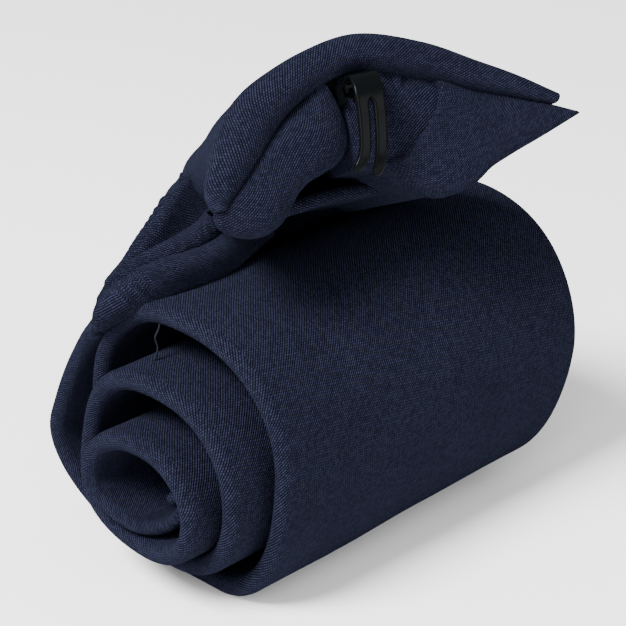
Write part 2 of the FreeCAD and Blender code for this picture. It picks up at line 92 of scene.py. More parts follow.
def unit(vectors):
    return vectors / np.maximum(np.linalg.norm(vectors, axis=-1, keepdims=True), 1e-9)


def lengths(points, axis):
    """Distance travelled along one axis of a grid of points."""
    steps = np.linalg.norm(np.diff(points, axis=axis), axis=-1)
    start = np.zeros_like(np.take(steps, [0], axis=axis))
    return np.concatenate([start, np.cumsum(steps, axis=axis)], axis=axis)


def padded_sheet(name, middle, half, front_sign=1.0, round_steps=7, measured=0.5):
    """A padded band about a grid of middle points [along, across], with rounded long edges.

    measured is the share of the way across at which the cloth's length is taken.
    """
    run = np.gradient(middle, axis=0)
    side = unit(np.gradient(middle, axis=1))
    out = unit(np.cross(side, run)) * front_sign
    half = np.broadcast_to(half, middle.shape[:2])[..., None]
    front = middle + out * half
    back = middle - out * half
    angles = np.linspace(0, math.pi, round_steps + 2)[1:-1]
    far, near = [], []
    for angle in angles:
        turned = out * math.cos(angle) + side * math.sin(angle)
        far.append(middle[:, -1] + half[:, -1] * turned[:, -1])
        near.append(middle[:, 0] - half[:, 0] * turned[:, 0])
    rings = np.concatenate([front, np.stack(far, 1), back[:, ::-1], np.stack(near, 1)], axis=1)
    closed = np.concatenate([rings, rings[:, :1]], axis=1)
    across = lengths(closed, 1)
    across -= across[:, [front.shape[1] // 2]]
    column = int(measured * (middle.shape[1] - 1))
    along = np.repeat(lengths(middle, 0)[:, [column]], closed.shape[1], axis=1)
    return ring_mesh(name, rings, across, along)


def curve(points, count):
    """A smooth line through a few points, as evenly spaced points."""
    points = np.asarray(points, float)
    knots = np.concatenate([[0], np.cumsum(np.linalg.norm(np.diff(points, axis=0), axis=1) ** 0.5)])
    tangents = np.gradient(points, knots, axis=0)
    fine = np.linspace(0, knots[-1], 400)
    piece = np.clip(np.searchsorted(knots, fine, side="right") - 1, 0, len(points) - 2)
    gap = (knots[piece + 1] - knots[piece])[:, None]
    s = (fine - knots[piece])[:, None] / gap
    line = (2 * s**3 - 3 * s**2 + 1) * points[piece] + (s**3 - 2 * s**2 + s) * gap * tangents[piece]
    line += (3 * s**2 - 2 * s**3) * points[piece + 1] + (s**3 - s**2) * gap * tangents[piece + 1]
    travelled = np.concatenate([[0], np.cumsum(np.linalg.norm(np.diff(line, axis=0), axis=1))])
    places = np.linspace(0, travelled[-1], count)
    return np.stack([np.interp(places, travelled, column) for column in line.T], 1)


def smooth(edge0, edge1, value):
    share = np.clip((value - edge0) / (edge1 - edge0), 0, 1)
    return share * share * (3 - 2 * share)


def waves(points, scale, amount, seed):
    """Slow seeded noise, one value for each point of a grid, in millimetres."""
    flat = points.reshape(-1, 3)
    values = [noise.noise(Vector(p) / scale + Vector((seed, 0, 0))) for p in flat]
    return amount * np.array(values).reshape(points.shape[:-1])


# ---------------------------------------------------------------- the blade's path, close to the CAD's

# name, y, z, near edge x, far edge x, squareness of the quarter before it
TURNS = (
    ("right", -4.6, 16.6, -34.5, 34.0, 2.0),
    ("bottom", 1.5, 12.4, -38.0, 41.0, 2.0),
    ("left", 10.8, 19.0, -40.0, 43.0, 2.0),
    ("top", 1.0, 26.9, -39.5, 43.0, 2.2),
    ("right", -10.6, 18.5, -38.7, 43.0, 2.2),
    ("bottom", 1.0, 8.95, -38.0, 43.0, 2.2),
    ("left", 14.6, 19.0, -37.0, 42.5, 2.3),
    ("top", 2.0, 35.8, -36.0, 42.0, 2.3),
    ("right", -15.4, 22.0, -34.5, 41.0, 2.2),
    ("bottom", 1.5, 5.35, -33.0, 40.5, 2.2),
    ("left", 18.8, 22.0, -31.0, 40.0, 2.4),
    ("top", 1.0, 44.9, -30.0, 41.0, 2.3),
    ("right", -20.0, 25.0, -28.5, 39.5, 2.2),
    ("bottom", -6.0, 1.65, -28.5, 35.0, 2.1),
    ("bottom", 6.0, 1.65, -29.5, 33.0, 2.0),
    ("left", 29.6, 16.0, -31.5, 27.0, 1.95),
    ("top", 5.6, 50.2, -31.0, 25.0, 1.35),
)
FLOOR_TURN = 14
STEPS = 26
THICK = 3.3
TIP_THICK = 2.0
FULL_AFTER = 2.0
TIP_LENGTH = 27.0
TIP_END_WIDTH = 7.0
TIP_GAP = 0.5
BLADE_COLUMNS = 60
STRIP_COLUMNS = 16
STRIP_RIPPLE_STEP = 2.1
# the far end's easing: from this x to this x, how much, and the height where lift turns into swell
FAR_FROM = -25
FAR_TO = 42
FAR_LIFT = 1.5
FAR_SWELL = 0.9
FAR_MIDDLE = 26
FAR_SWELL_RISE = 20


def path_point(turn):
    """Centre line and edges at a place counted in quarter turns: y, z, near x, far x."""
    number = min(int(turn), len(TURNS) - 2)
    share = turn - number
    name, y0, z0, near0, far0, _ = TURNS[number]
    _, y1, z1, near1, far1, squareness = TURNS[number + 1]
    sine = math.sin(share * math.pi / 2) ** (2 / squareness)
    cosine = abs(math.cos(share * math.pi / 2)) ** (2 / squareness)
    if name in ("right", "left"):
        y, z = y1 + (y0 - y1) * cosine, z0 + (z1 - z0) * sine
    else:
        y, z = y0 + (y1 - y0) * sine, z1 + (z0 - z1) * cosine
    return y, z, near0 + (near1 - near0) * share, far0 + (far1 - far0) * share


def even_path(start, end, spacing):
    """Path points an even distance apart, as rows of y, z, near x, far x, thickness."""
    turns = np.linspace(start, end, int((end - start) * STEPS * 4) + 1)
    rows = np.array([path_point(t) + (t,) for t in turns])
    travelled = np.concatenate([[0], np.cumsum(np.hypot(np.diff(rows[:, 0]), np.diff(rows[:, 1])))])
    places = np.linspace(0, travelled[-1], int(travelled[-1] / spacing) + 1)
    even = np.stack([np.interp(places, travelled, rows[:, c]) for c in range(5)], 1)
    even[:, 4] = TIP_THICK + (THICK - TIP_THICK) * np.clip(even[:, 4] / FULL_AFTER, 0, 1)
    return even


def normals_of(line):
    """The side of a line of (y, z) points that the blade's front faces."""
    run = np.gradient(line, axis=0)
    return unit(np.stack([run[:, 1], -run[:, 0]], 1))


def tip_rows(body):
    """The pointed tip, folded back inside the core, then the round of its fold."""
    out = normals_of(body[:, :2])
    reach = body[:, 4] / 2 + TIP_THICK / 2 + TIP_GAP
    inside = body[:, :2] - out * reach[:, None]
    travelled = np.concatenate([[0], np.cumsum(np.linalg.norm(np.diff(inside, axis=0), axis=1))])
    count = int(np.searchsorted(travelled, TIP_LENGTH))
    middle, full = body[0, 2:4].mean(), (body[0, 3] - body[0, 2]) / 2
    half = full + (TIP_END_WIDTH / 2 - full) * travelled[:count] / TIP_LENGTH
    thick = np.full(count, TIP_THICK)
    flap = np.column_stack([inside[:count], middle - half, middle + half, thick])[::-1]
    centre = (inside[0] + body[0, :2]) / 2
    radius = np.linalg.norm(inside[0] - body[0, :2]) / 2
    angles = np.linspace(0, math.pi, 12)[1:-1, None]
    turned = np.array([out[0, 1], -out[0, 0]])
    bend = centre + radius * (-out[0] * np.cos(angles) + turned * np.sin(angles))
    edges = np.tile([body[0, 2], body[0, 3], TIP_THICK], (len(bend), 1))
    return np.concatenate([flap, np.column_stack([bend, edges])])


def band_middle(rows, columns):
    """Middle points and half thickness of the blade, fuller beside its folded edges."""
    half = rows[:, 4] / 2
    shares = (1 - np.cos(np.linspace(0, math.pi, columns))) / 2
    shares = 0.6 * shares + 0.4 * np.linspace(0, 1, columns)
    low, high = rows[:, 2] + half, rows[:, 3] - half
    x = low[:, None] + (high - low)[:, None] * shares
    y = np.repeat(rows[:, [0]], columns, 1)
    z = np.repeat(rows[:, [1]], columns, 1)
    return np.stack([x, y, z], -1), np.repeat(half[:, None], columns, 1)


def relaxed(middle):
    """The roll eased at its far end: lifted off the table and a little fuller on top."""
    far = smooth(FAR_FROM, FAR_TO, middle[..., 0])
    low = np.clip(1 - middle[..., 2] / FAR_MIDDLE, 0, 1)
    high = np.clip((middle[..., 2] - FAR_MIDDLE) / FAR_SWELL_RISE, 0, 1)
    eased = middle.copy()
    eased[..., 2] += far * (FAR_LIFT * low + FAR_SWELL * high)
    eased[..., 1] += waves(middle, scale=16, amount=0.35, seed=2.2)
    eased[..., 0] += waves(middle, scale=18, amount=1.0, seed=9.1)
    return eased


def strip_behind(name, start, end, near, far, thick, ripple=0.0):
    """A thin strip on the blade's back, between two places along it and two places across it."""
    body = even_path(start, end, spacing=0.7)
    out = normals_of(body[:, :2])
    gap = body[:, 4] / 2 + thick / 2
    line = body[:, :2] - out * gap[:, None]
    x = near + (far - near) * np.linspace(0, 1, STRIP_COLUMNS)
    x = x[None, :] + ripple * np.sin(np.arange(len(body)) * STRIP_RIPPLE_STEP)[:, None]
    y = np.repeat(line[:, [0]], STRIP_COLUMNS, 1)
    z = np.repeat(line[:, [1]], STRIP_COLUMNS, 1)
    middle = np.stack([x, y, z], -1)
    return padded_sheet(name, relaxed(middle), thick / 2, front_sign=-1.0, round_steps=3)


def build_rolled_blade():
    body = even_path(0, FLOOR_TURN, spacing=0.8)
    rows = np.concatenate([tip_rows(body), body])
    middle, half = band_middle(rows, BLADE_COLUMNS)
    return padded_sheet("rolled_blade", relaxed(middle), half * 0.99, front_sign=-1.0)


SLACK_STITCH = (
    (-29.0, 4.4, 44.4), (-29.6, 4.3, 42.4), (-30.0, 4.7, 40.9), (-29.9, 4.3, 39.4), (-30.4, 4.6, 37.2),
)
SLACK_STITCH_WIDTH = 0.34
SLACK_STITCH_HALF_THICK = 0.12


def build_slack_stitch():
    """The loose loop of the slip stitch that runs down the blade's fold, seen in the roll's mouth."""
    line = curve(SLACK_STITCH, 60)
    offsets = np.linspace(-0.5, 0.5, 5) * SLACK_STITCH_WIDTH
    middle = np.repeat(line[:, None], len(offsets), axis=1)
    middle[..., 0] += offsets * 0.6
    middle[..., 1] += offsets * 0.8
    return padded_sheet("slack_stitch", middle, SLACK_STITCH_HALF_THICK, round_steps=3)


# ---------------------------------------------------------------- the knot, in its own frame
# x across the wide end, y from the wide end to the narrow end, z outwards

KNOT_PLACE = np.array((-1.7, -15.6, 71.2))
KNOT_ANGLES = (-30.5, -1.9, -17.8)
KNOT_AXES = np.array(Euler([math.radians(angle) for angle in KNOT_ANGLES]).to_matrix())
KNOT_LENGTH = 36.0
NARROW_ACROSS = 0.50
NARROW_OUT = 0.66

# outlines in the wide end's plane, as (x, z), from the left corner to the right
RIM_OUTER = (
    (-29.2, -5.9), (-30, -3.5), (-29.3, -0.8), (-27.3, 3.2), (-23.6, 8.1), (-20.6, 10.3), (-15.3, 12.7),
    (-9.9, 14.8), (-4.8, 15.9), (-0.6, 16), (4.9, 14.9), (11, 12.7), (18.5, 8.7), (26, 4.2), (30.6, 1.0),
)
RIM_CREASE = (
    (-27.4, -5.0), (-24.7, -2.2), (-19.0, 2.6), (-12.6, 7.3), (-6.6, 10.5), (-1.1, 11.8), (5.0, 10.9),
    (11.6, 8.3), (20.8, 3.7), (27.8, 0.4), (30.5, -0.7),
)
LOBE_TOP = ((-29.1, -5.0), (-26.8, -4.3), (-21.8, 0.0), (-15.8, 4.8), (-9.6, 8.9), (-6.8, 10.2))
LOBE_UNDER = (
    (-29.2, -6.0), (-28.7, -7.4), (-26.6, -9.0), (-23.4, -10.0), (-20.0, -9.9), (-17.2, -8.2), (-14.6, -5.5),
    (-12.0, -3.9), (-9.4, -3.1), (-6.4, -2.0), (-4.5, 0.0), (-3.9, 2.4), (-4.3, 5.4), (-5.6, 8.6),
)
FLAP_TOP = ((11.6, 7.6), (20.8, 3.9), (27.8, 0.7), (33.2, -2.5))
FLAP_UNDER = (
    (-1.0, -3.2), (3.5, -7.6), (8.0, -10.2), (12.7, -10.0), (16.8, -8), (21.2, -6.6), (27.1, -4.9),
    (33.4, -2.9),
)
INNER_TOP = ((-3.4, 11.4), (4.5, 11.4), (13.0, 7.6))
INNER_UNDER = ((-4.2, -3.4), (-0.5, -4.2), (3.5, -5.5), (8.0, -6.5))
# the wrap's outline at the narrow end
NARROW_OUTER = (
    (-11.5, -5.0), (-15.0, -2.0), (-18.0, 1.2), (-18.8, 4.0), (-17.2, 6.6), (-11, 8.9), (-2, 9.6), (9, 7.4),
    (20.5, -1.5),
)
BACK_LINE = ((-26, -5.0), (-18, -7.0), (-6, -6.5), (6, -7.0), (18, -6.8), (28, -3.2))
BACK_START = 14.0
BACK_HALF_THICK = 1.1
# an even count of angles, so that a mouth piece's ends close
MOUTH_ANGLES = 62
MOUTH_STEPS = 26


def from_knot(points):
    return KNOT_PLACE + np.asarray(points) @ KNOT_AXES.T


def taper(depth):
    """How far the knot has narrowed at a depth: across it, and outwards."""
    share = np.clip(depth / KNOT_LENGTH, 0, 1)
    return 1 + (NARROW_ACROSS - 1) * share, 1 + (NARROW_OUT - 1) * share


def build_front_wrap():
    count = 190
    outer, crease, narrow = (curve(line, count) for line in (RIM_OUTER, RIM_CREASE, NARROW_OUTER))
    inward = unit(crease - outer)
    half = np.maximum(np.linalg.norm(crease - outer, axis=1) / 2, 0.4)[:, None]
    depth = half + (KNOT_LENGTH - half) * np.linspace(0, 1, 56)
    share = depth / KNOT_LENGTH
    half = half * (1 - 0.45 * smooth(3, 14, depth))
    x = outer[:, [0]] * (1 - share) + narrow[:, [0]] * share + inward[:, [0]] * half
    z = outer[:, [1]] * (1 - share) + narrow[:, [1]] * share + inward[:, [1]] * half
    middle = np.stack([x, depth, z], -1)
    outward = unit(np.stack([-inward[:, 0], 0 * inward[:, 0], -inward[:, 1]], -1))
    middle += outward[:, None] * waves(middle, scale=11, amount=0.5, seed=3.1)[..., None]
    return padded_sheet("knot_front_cloth", from_knot(middle), half, front_sign=1.0, measured=0.1)


def mouth_piece(name, top, under, mouth, bulge, reach, squareness=0.8, bow=0.0, count=110, dents=None):
    """A puffed end of cloth in the knot's wide end: rings across it, running back into the knot."""
    top, under = curve(top, count), curve(under, count)
    centre = (top + under) / 2
    half = np.linalg.norm(top - under, axis=1)[:, None] / 2
    toward_top = unit(top - under)
    angles = np.linspace(0, math.pi, MOUTH_ANGLES)
    cosine, sine = np.cos(angles), np.sin(angles)
    spread = np.sign(cosine) * np.abs(cosine) ** squareness
    share = np.linspace(0, 1, count)[:, None]
    rise = np.minimum(bulge, half * 0.95)
    if bow:
        rise = rise * (0.3 + 0.7 * smooth(0, 0.3, share))
    front = centre[:, None] + toward_top[:, None] * (half * spread)[..., None]
    lean = np.stack([toward_top[:, 1], -toward_top[:, 0]], -1)
    front = front + lean[:, None] * (bow * (1 - share) ** 2 * sine)[..., None]
    front_depth = mouth(share) + rise * (1 - sine ** squareness)
    if dents is not None:
        front_depth = front_depth + dents(front)
    front_points = np.stack([front[..., 0], front_depth, front[..., 1]], -1)
    steps = np.linspace(0, 1, MOUTH_STEPS)[1:]
    sides = []
    for edge, order in ((under, steps), (top, steps[::-1])):
        start = mouth(share) + rise
        depth = start + (reach - start) * order
        across, out = taper(depth)
        sides.append(np.stack([edge[:, [0]] * across, depth, edge[:, [1]] * out], -1))
    rings = np.concatenate([front_points, sides[0], sides[1]], 1)
    rings[..., 1] += waves(rings, scale=9, amount=0.35, seed=7.7)
    rings = from_knot(rings)
    closed = np.concatenate([rings, rings[:, :1]], 1)
    across = lengths(closed, 1)
    across -= across[:, [len(angles) // 2 - 1]]
    along = np.repeat(lengths(centre[:, None], 0), closed.shape[1], axis=1)
    return ring_mesh(name, rings, across, along)


# how deep each piece's mouth lies, by the share of the way along it

def lobe_mouth(share):
    return 0.6 + 1.4 * smooth(0.6, 1, share)


def flap_mouth(share):
    return 1.4 - share


def inner_mouth(share):
    return np.full_like(share, 2.6)


# the creases as (x, z) of top and foot, with how deep and how wide they are
DARTS = (((4.6, 9.4), (5.9, 5.4)), ((7.4, 8.4), (6.6, 6.0)))
DART_DEPTH = 0.9
DART_WIDTH = 0.55


def dart(front):
    """Two small pressed-in creases in the inner fold, under the rim beside the clip."""
    depth = 0
    for top, foot in DARTS:
        top, foot = np.array(top), np.array(foot)
        along = foot - top
        share = np.clip(((front - top) @ along) / (along @ along), 0, 1)
        away = np.linalg.norm(front - (top + share[..., None] * along), axis=-1)
        depth = depth + DART_DEPTH * (1 - share) ** 0.5 * np.exp(-((away / DART_WIDTH) ** 2))
    return depth


def build_back_wrap():
    line = curve(BACK_LINE, 90)
    depth = np.linspace(BACK_START, KNOT_LENGTH, 34)[None, :]
    across, out = taper(depth)
    middle = np.stack([line[:, [0]] * across, depth + 0 * line[:, [0]], line[:, [1]] * out], -1)
    return padded_sheet("knot_back_cloth", from_knot(middle), BACK_HALF_THICK, front_sign=-1.0)


# ---------------------------------------------------------------- the clip

# the fork's middle line in the knot's frame, from its barrel over the crown and down the prongs
FORK_LINE = ((-1.0, 3.0, 7.8), (-1.1, 1.6, 9.2), (-1.3, -0.6, 9.4), (-1.6, -1.9, 7.6), (-2.2, -2.2, 3.5),
             (-3.2, -2.1, -1.0), (-3.9, -1.5, -3.6), (-4.5, -0.8, -5.0))
FORK_WIDTH = (4.1, 3.5)
FORK_HALF_THICK = 0.42
SLOT_WIDTH = 1.55
# how far the left prong's tip leans away, and the share of that for the right one's
SPLAY = 1.0
RIGHT_SPLAY = 0.1
TIP_GAP_EACH_SIDE = 0.45
# shares of the line at which the slot, the splay and the tips' rounding start
SLOT_START = 0.42
SPLAY_START = 0.78
ROUND_START = 0.94
# shares of the line that the slot's round end and the tips' rounding take up
SLOT_ROUND = 0.05
TIP_ROUND = 0.09


def build_fork():
    """The two-pronged clip: a plate bent over the crown, split by a slot that is open at the foot."""
    line = curve(FORK_LINE, 150)
    share = np.linspace(0, 1, len(line))
    width = FORK_WIDTH[0] + (FORK_WIDTH[1] - FORK_WIDTH[0]) * share
    half_width = width / 2 * np.sqrt(1 - np.clip((share - ROUND_START) / TIP_ROUND, 0, 1) ** 2)
    slot = SLOT_WIDTH / 2 * np.sqrt(np.clip((share - SLOT_START) / SLOT_ROUND, 0, 1))
    slot = slot + TIP_GAP_EACH_SIDE * np.clip((share - ROUND_START) / (1 - ROUND_START), 0, 1) ** 2
    splay = SPLAY * np.clip((share - SPLAY_START) / (1 - SPLAY_START), 0, 1) ** 2
    run = unit(np.gradient(line, axis=0))
    side = unit(np.cross(np.cross(run, (1, 0, 0)), run))
    prongs = []
    for sign, spread in ((-1, splay), (1, RIGHT_SPLAY * splay)):
        prong_width = np.maximum(half_width - slot, 0.05)
        offsets = (slot + spread)[:, None] + prong_width[:, None] * np.linspace(0, 1, 14)
        middle = line[:, None] + side[:, None] * (sign * offsets)[..., None]
        prongs.append(padded_sheet(f"fork_prong_{len(prongs)}", from_knot(middle), FORK_HALF_THICK,
                                   front_sign=float(sign), round_steps=5))
    return prongs


# ---------------------------------------------------------------- the neck

# columns run from the blade's near edge to its far one: edge, crest, valley, crest, valley, ridge, back, edge
NECK_SHARES = (0.0, 0.07, 0.14, 0.22, 0.31, 0.42, 0.72, 1.0)
NECK_ROWS = (
    ((-31.2, 14.0, 41.6), (-32.8, 12.0, 44.6), (-31.2, 13.6, 45.8), (-31.4, 12.2, 47.9),
     (-28.0, 15.2, 46.8), (-23.5, 16.0, 48.6), (0, 18.5, 46.0), (26, 17.0, 42.0)),
    ((-27.5, 8.0, 46.2), (-28.6, 8.4, 49.2), (-26.0, 12.0, 48.0), (-26.6, 10.0, 50.6),
     (-22.8, 14.0, 49.2), (-20.5, 15.2, 53.0), (3, 16.5, 49.0), (26, 12.5, 45.5)),
    ((-15.0, 6.2, 47.2), (-16.2, 6.6, 50.2), (-15.0, 10.2, 49.6), (-16.2, 8.8, 52.5),
     (-12.6, 13.0, 51.6), (-13.5, 16.2, 57.4), (6, 15.0, 51.5), (26, 8.0, 48.0)),
)
NECK_END = ((-9.5, 31, -7.5), (-12.5, 31, -6.0), (-14.0, 31, -4.0), (-15.0, 31, -2.6),
            (-15.6, 31, 0.0), (-15.0, 31, 4.8), (4, 31, 6.0), (20, 31, -5.0))
NECK_PATH_TURNS = (14.0, 14.25, 14.5, 14.75, 15.0, 15.2, 15.4)
NECK_THINNER = 0.97
# the heights between which the neck's waves grow
NECK_WAVES_FROM = 38
NECK_WAVES_FULL = 46


def build_neck():
    shares = np.array(NECK_SHARES)
    rows = []
    for turn in NECK_PATH_TURNS:
        y, z, near, far = path_point(turn)
        x = near + THICK / 2 + (far - near - THICK) * shares
        rows.append(np.stack([x, y + 0 * x, z + 0 * x], 1))
    rows.extend(np.array(row) for row in NECK_ROWS)
    rows.append(from_knot(NECK_END))
    net = np.stack(rows)
    lengthwise = np.stack([curve(net[:, column], 230) for column in range(net.shape[1])], 1)
    middle = np.stack([curve(row, 130) for row in lengthwise])
    above = smooth(NECK_WAVES_FROM, NECK_WAVES_FULL, middle[..., 2])
    middle[..., 2] += waves(middle, scale=13, amount=0.5, seed=5.3) * above
    return padded_sheet("neck_cloth", middle, THICK / 2 * NECK_THINNER, front_sign=-1.0, measured=0.2)


# ---------------------------------------------------------------- materials

NAVY = (0.0020, 0.0023, 0.0048)
# the dark navy is painted shade for the gaps between thread floats, the pale navy a painted highlight for
# their crowns
NAVY_GAP_SHADE = (0.0003, 0.0004, 0.0011)
NAVY_CROWN_HIGHLIGHT = (0.0228, 0.0248, 0.0480)
# the weave in millimetres: a float's length, a row's width and how far the ribs stand up
THREAD_FLOAT = 0.50
THREAD_ROW = 0.35
THREAD_RELIEF = 0.20


def node_material(name):
    material = bpy.data.materials.new(name)
    material.use_nodes = True
    return material, material.node_tree, material.node_tree.nodes["Principled BSDF"]


def calc(tree, operation, *values):
    """A math node of the given operation on numbers or sockets; gives its output socket."""
    node = tree.nodes.new("ShaderNodeMath")
    node.operation = operation
    for socket, value in zip(node.inputs, values):
        if isinstance(value, (int, float)):
            socket.default_value = value
        else:
            tree.links.new(value, socket)
    return node.outputs[0]


def mix_colours(tree, share, first, second):
    node = tree.nodes.new("ShaderNodeMix")
    node.data_type = "RGBA"
    for socket, value in ((node.inputs[0], share), (node.inputs[6], first), (node.inputs[7], second)):
        if isinstance(value, tuple):
            socket.default_value = (*value, 1)
        else:
            tree.links.new(value, socket)
    return node.outputs[2]


def noise_value(tree, vector, scale, detail=3.0):
    node = tree.nodes.new("ShaderNodeTexNoise")
    node.inputs["Scale"].default_value = scale
    node.inputs["Detail"].default_value = detail
    tree.links.new(vector, node.inputs["Vector"])
    return node.outputs["Fac"]


def woven(name, angle):
    """Navy cloth woven of fine ribs: brick-laid thread floats, with a painted highlight on their crowns and
    painted shade in the gaps between them.
    """
    material, tree, shader = node_material(name)
    links = tree.links
    coordinates = tree.nodes.new("ShaderNodeTexCoord")
    turned = tree.nodes.new("ShaderNodeMapping")
    turned.inputs["Rotation"].default_value = (0, 0, math.radians(angle))
    links.new(coordinates.outputs["UV"], turned.inputs["Vector"])
    wobble = tree.nodes.new("ShaderNodeTexNoise")
    wobble.inputs["Scale"].default_value = 260
    links.new(turned.outputs[0], wobble.inputs["Vector"])
    parts = tree.nodes.new("ShaderNodeSeparateXYZ")
    links.new(turned.outputs[0], parts.inputs[0])
    sway = calc(tree, "MULTIPLY", calc(tree, "SUBTRACT", wobble.outputs["Fac"], 0.5), 0.7)
    rows = calc(tree, "ADD", calc(tree, "DIVIDE", parts.outputs["Y"], THREAD_ROW * MM), sway)
    row = calc(tree, "FLOOR", rows)
    along = calc(tree, "DIVIDE", parts.outputs["X"], THREAD_FLOAT * MM)
    along = calc(tree, "ADD", along, calc(tree, "MULTIPLY", row, 0.5))
    along = calc(tree, "ADD", along, calc(tree, "MULTIPLY", sway, 0.6))
    cell = calc(tree, "FLOOR", along)
    crowns = []
    for position in (along, rows):
        middle = calc(tree, "SUBTRACT", calc(tree, "FRACT", position), 0.5)
        crowns.append(calc(tree, "COSINE", calc(tree, "MULTIPLY", middle, math.pi)))
    float_crown = calc(tree, "ADD", calc(tree, "MULTIPLY", crowns[0], 0.65), 0.35)
    crown = calc(tree, "MULTIPLY", float_crown, calc(tree, "POWER", crowns[1], 1.2))
    cells = tree.nodes.new("ShaderNodeCombineXYZ")
    links.new(cell, cells.inputs[0])
    links.new(row, cells.inputs[1])
    dye = tree.nodes.new("ShaderNodeTexWhiteNoise")
    dye.noise_dimensions = "2D"
    links.new(cells.outputs[0], dye.inputs["Vector"])
    cell_tone = calc(tree, "ADD", calc(tree, "MULTIPLY", dye.outputs["Value"], 0.55), 0.55)
    # colour by the weave's height: painted highlight on the crowns and painted shade in the gaps, varied by a
    # random tone for each float
    thread = mix_colours(tree, calc(tree, "MULTIPLY", crown, cell_tone), NAVY_GAP_SHADE, NAVY_CROWN_HIGHLIGHT)
    cloud = noise_value(tree, coordinates.outputs["Object"], 90)
    thread = mix_colours(tree, calc(tree, "MULTIPLY", cloud, 0.35), thread, NAVY)
    links.new(thread, shader.inputs["Base Color"])
    fuzz = noise_value(tree, turned.outputs[0], 9000, 2.0)
    height = calc(tree, "ADD", calc(tree, "MULTIPLY", crown, 0.85), calc(tree, "MULTIPLY", fuzz, 0.25))
    bump = tree.nodes.new("ShaderNodeBump")
    bump.inputs["Strength"].default_value = 0.9
    bump.inputs["Distance"].default_value = THREAD_RELIEF * MM
    links.new(height, bump.inputs["Height"])
    links.new(bump.outputs[0], shader.inputs["Normal"])
    roughness = calc(tree, "ADD", calc(tree, "MULTIPLY", dye.outputs["Value"], 0.15), 0.62)
    links.new(roughness, shader.inputs["Roughness"])
    shader.inputs["Sheen Weight"].default_value = 0.02
    shader.inputs["Sheen Roughness"].default_value = 0.45
    shader.inputs["Sheen Tint"].default_value = (0.35, 0.42, 0.65, 1)
    shader.inputs["Specular IOR Level"].default_value = 0.0
    return material


def plain(name, first, second, roughness, scale, relief, shine=0.3, metallic=0.0):
    """A two-tone surface with fine relief, for thread, felt, plastic and metal."""
    material, tree, shader = node_material(name)
    coordinates = tree.nodes.new("ShaderNodeTexCoord")
    grain = noise_value(tree, coordinates.outputs["Object"], scale, 4.0)
    tree.links.new(mix_colours(tree, grain, first, second), shader.inputs["Base Color"])
    bump = tree.nodes.new("ShaderNodeBump")
    bump.inputs["Strength"].default_value = 0.6
    bump.inputs["Distance"].default_value = relief * MM
    tree.links.new(grain, bump.inputs["Height"])
    tree.links.new(bump.outputs[0], shader.inputs["Normal"])
    varied = calc(tree, "ADD", calc(tree, "MULTIPLY", grain, 0.12), roughness)
    tree.links.new(varied, shader.inputs["Roughness"])
    shader.inputs["Metallic"].default_value = metallic
    shader.inputs["Specular IOR Level"].default_value = shine
    return material


# ---------------------------------------------------------------- studio

# metres and degrees; the sensor and the lens in millimetres
FLOOR_HALF = 3.0
CAMERA_AZIMUTH = -45
CAMERA_ELEVATION = 27
CAMERA_DISTANCE = 0.355
CAMERA_CENTRE = (0, 0, 0.024)
CAMERA_AIM_LEFT = 0.000807
CAMERA_AIM_UP = 0.011457
CAMERA_LENS = 126.518
SENSOR_WIDTH = 36
LIGHT_TARGET = (0, 0, 0.04)


def build_studio():
    floor = bpy.data.meshes.new("floor")
    corners = [(x * FLOOR_HALF, y * FLOOR_HALF, 0) for x, y in ((-1, -1), (1, -1), (1, 1), (-1, 1))]
    floor.from_pydata(corners, [], [(0, 1, 2, 3)])
    ground = bpy.data.objects.new("floor", floor)
    bpy.context.scene.collection.objects.link(ground)
    material, tree, shader = node_material("floor")
    shader.inputs["Base Color"].default_value = (0.95, 0.95, 0.95, 1)
    shader.inputs["Roughness"].default_value = 0.9
    floor.materials.append(material)
    world = bpy.data.worlds.new("studio")
    bpy.context.scene.world = world
    world.use_nodes = True
    world.node_tree.nodes["Background"].inputs["Color"].default_value = (1, 1, 1, 1)
    world.node_tree.nodes["Background"].inputs["Strength"].default_value = 0.75


def area_light(name, place, size, watts):
    light = bpy.data.lights.new(name, "AREA")
    light.shape = "DISK"
    light.size = size
    light.energy = watts
    made = bpy.data.objects.new(name, light)
    made.location = place
    made.rotation_euler = (Vector(LIGHT_TARGET) - Vector(place)).to_track_quat("-Z", "Y").to_euler()
    bpy.context.scene.collection.objects.link(made)


def build_camera():
    azimuth, elevation = math.radians(CAMERA_AZIMUTH), math.radians(CAMERA_ELEVATION)
    level = math.cos(elevation)
    back = Vector((math.sin(azimuth) * level, -math.cos(azimuth) * level, math.sin(elevation)))
    right = Vector((math.cos(azimuth), math.sin(azimuth), 0))
    up = back.cross(right)
    place = Vector(CAMERA_CENTRE) + back * CAMERA_DISTANCE
    aim = Vector(CAMERA_CENTRE) - right * CAMERA_AIM_LEFT + up * CAMERA_AIM_UP
    camera = bpy.data.cameras.new("camera")
    camera.sensor_width = SENSOR_WIDTH
    camera.lens = CAMERA_LENS
    made = bpy.data.objects.new("camera", camera)
    made.location = place
    made.rotation_euler = (aim - place).to_track_quat("-Z", "Y").to_euler()
    bpy.context.scene.collection.objects.link(made)
    bpy.context.scene.camera = made


# ---------------------------------------------------------------- the necktie

def dress(piece, material, body, slot, *nodes, fill=0.5):
    """Gives a piece its material, the body that it moves with, and the CAD nodes that it stands for."""
    piece.data.materials.append(material)
    if nodes:
        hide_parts(*nodes)
    if body:
        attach(piece, body)


